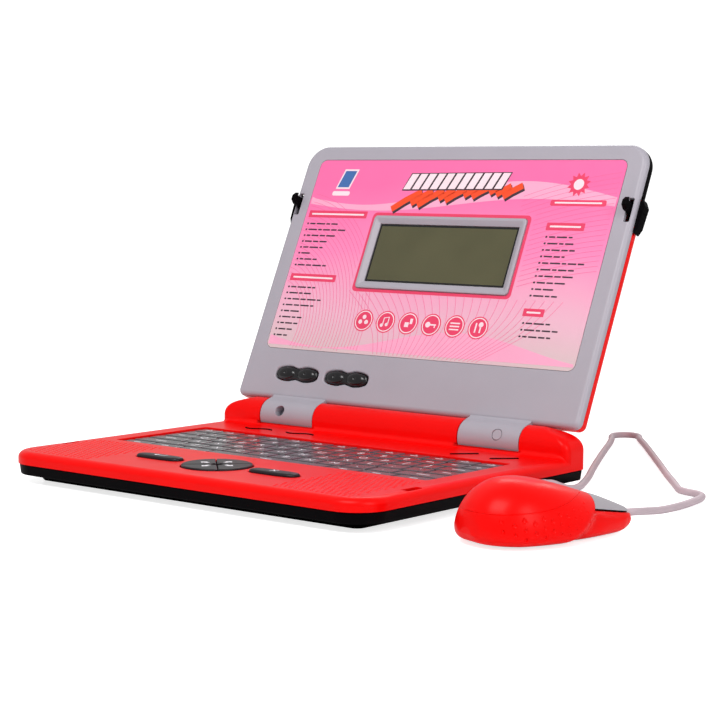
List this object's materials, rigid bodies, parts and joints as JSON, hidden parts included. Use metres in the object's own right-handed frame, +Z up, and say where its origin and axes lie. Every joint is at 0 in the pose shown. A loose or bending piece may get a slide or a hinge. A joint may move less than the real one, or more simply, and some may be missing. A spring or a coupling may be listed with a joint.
{
  "type": "toy laptop computer",
  "caption": "Child's toy learning laptop with a hinged lid, small screen in a printed panel, soft keyboard and a corded mouse.",
  "frame": {"origin": "centre of the flat plate that the laptop rests on", "axes": "+X to the right along the laptop's width, +Y to its back, +Z up; the lid stands open at 115 degrees"},
  "size_m": [0.3678, 0.4099, 0.1987],
  "materials": {
    "red_plastic": "smooth, glossy",
    "black_plastic": "satin",
    "grey_plastic": "satin with a faint metallic paint",
    "key_rubber": "matte silicone",
    "button_rubber": "satin silicone",
    "artwork": "printed film",
    "display": "clear window over a liquid-crystal cell",
    "circuit_board": "solder mask",
    "steel": "zinc plated",
    "battery_cell": "printed sleeve",
    "cord_sheath": "smooth vinyl",
    "lens": "clear"
  },
  "bodies": {
    "base": {"base_top_shell": "red_plastic", "base_bottom_shell": "black_plastic", "keyboard_mat": "key_rubber", "main_circuit_board": "circuit_board", "speaker": "black_plastic", "battery_door": "black_plastic", "battery_door_screw": "steel", "case_screw_1": "steel", "case_screw_2": "steel", "case_screw_3": "steel", "case_screw_4": "steel", "battery_1": "battery_cell", "battery_2": "battery_cell", "battery_3": "battery_cell", "battery_4": "battery_cell", "mouse_socket": "black_plastic", "hinge_pin_left": "steel", "hinge_pin_right": "steel", "mouse_plug": "cord_sheath", "mouse_cord": "cord_sheath"},
    "lid": {"lid_bezel": "grey_plastic", "artwork_panel": "artwork", "lcd_panel": "display", "lid_circuit_board": "circuit_board", "lid_back_shell": "red_plastic", "lid_edge_band": "black_plastic", "lid_screw_1": "steel", "lid_screw_2": "steel", "lid_screw_3": "steel", "lid_screw_4": "steel", "hinge_cover_screw": "steel", "hinge_screw_cap": "grey_plastic"},
    "left_latch": {"left_latch": "black_plastic"},
    "right_latch": {"right_latch": "black_plastic"},
    "volume_rocker": {"volume_rocker": "black_plastic"},
    "contrast_rocker": {"contrast_rocker": "black_plastic"},
    "enter_button": {"enter_button": "button_rubber"},
    "escape_button": {"escape_button": "button_rubber"},
    "arrow_up": {"arrow_key_up": "button_rubber"},
    "arrow_down": {"arrow_key_down": "button_rubber"},
    "arrow_left": {"arrow_key_left": "button_rubber"},
    "arrow_right": {"arrow_key_right": "button_rubber"},
    "mouse": {"mouse_top_shell": "red_plastic", "mouse_bottom_shell": "red_plastic", "mouse_circuit_board": "circuit_board", "mouse_lens": "lens", "mouse_screw": "steel", "mouse_cord_grommet": "black_plastic"},
    "mouse_left_click": {"mouse_left_button": "grey_plastic"},
    "mouse_right_click": {"mouse_right_button": "grey_plastic"}
  },
  "joints": [
    {"name": "lid_hinge", "type": "hinge", "parent": "base", "child": "lid", "pos_m": [0, 0.0926, 0.0241], "axis": [1, 0, 0], "range_deg": [-15, 114.8]},
    {"name": "enter_press", "type": "slide", "parent": "base", "child": "enter_button", "axis": [0, 0, 1], "range_m": [-0.0012, 0], "stiffness_N_per_m": 300, "springref_m": 0.0005},
    {"name": "escape_press", "type": "slide", "parent": "base", "child": "escape_button", "axis": [0, 0, 1], "range_m": [-0.0012, 0], "stiffness_N_per_m": 300, "springref_m": 0.0005},
    {"name": "arrow_up_press", "type": "slide", "parent": "base", "child": "arrow_up", "axis": [0, 0, 1], "range_m": [-0.001, 0], "stiffness_N_per_m": 300, "springref_m": 0.0005},
    {"name": "arrow_down_press", "type": "slide", "parent": "base", "child": "arrow_down", "axis": [0, 0, 1], "range_m": [-0.001, 0], "stiffness_N_per_m": 300, "springref_m": 0.0005},
    {"name": "arrow_left_press", "type": "slide", "parent": "base", "child": "arrow_left", "axis": [0, 0, 1], "range_m": [-0.001, 0], "stiffness_N_per_m": 300, "springref_m": 0.0005},
    {"name": "arrow_right_press", "type": "slide", "parent": "base", "child": "arrow_right", "axis": [0, 0, 1], "range_m": [-0.001, 0], "stiffness_N_per_m": 300, "springref_m": 0.0005},
    {"name": "volume_tilt", "type": "hinge", "parent": "lid", "child": "volume_rocker", "pos_m": [-0.087, 0.10407, 0.04964], "axis": [0, 0.4194, 0.9078], "range_deg": [-4, 4], "stiffness_Nm_per_rad": 0.02},
    {"name": "contrast_tilt", "type": "hinge", "parent": "lid", "child": "contrast_rocker", "pos_m": [-0.0457, 0.10407, 0.04964], "axis": [0, 0.4194, 0.9078], "range_deg": [-4, 4], "stiffness_Nm_per_rad": 0.02},
    {"name": "left_latch_slide", "type": "slide", "parent": "lid", "child": "left_latch", "axis": [0, -0.4194, -0.9078], "range_m": [0, 0.004], "stiffness_N_per_m": 200, "springref_m": -0.002},
    {"name": "right_latch_slide", "type": "slide", "parent": "lid", "child": "right_latch", "axis": [0, -0.4194, -0.9078], "range_m": [0, 0.004], "stiffness_N_per_m": 200, "springref_m": -0.002},
    {"name": "mouse_glide", "type": "slide", "parent": "base", "child": "mouse", "axis": [0.342, 0.9397, 0], "range_m": [-0.03, 0]},
    {"name": "mouse_left_press", "type": "hinge", "parent": "mouse", "child": "mouse_left_click", "pos_m": [0.20928, -0.02297, 0.02], "axis": [-0.9397, 0.342, 0], "range_deg": [0, 1.3], "stiffness_Nm_per_rad": 0.04, "springref_deg": -1.72},
    {"name": "mouse_right_press", "type": "hinge", "parent": "mouse", "child": "mouse_right_click", "pos_m": [0.20928, -0.02297, 0.02], "axis": [-0.9397, 0.342, 0], "range_deg": [0, 1.3], "stiffness_Nm_per_rad": 0.04, "springref_deg": -1.72}
  ]
}
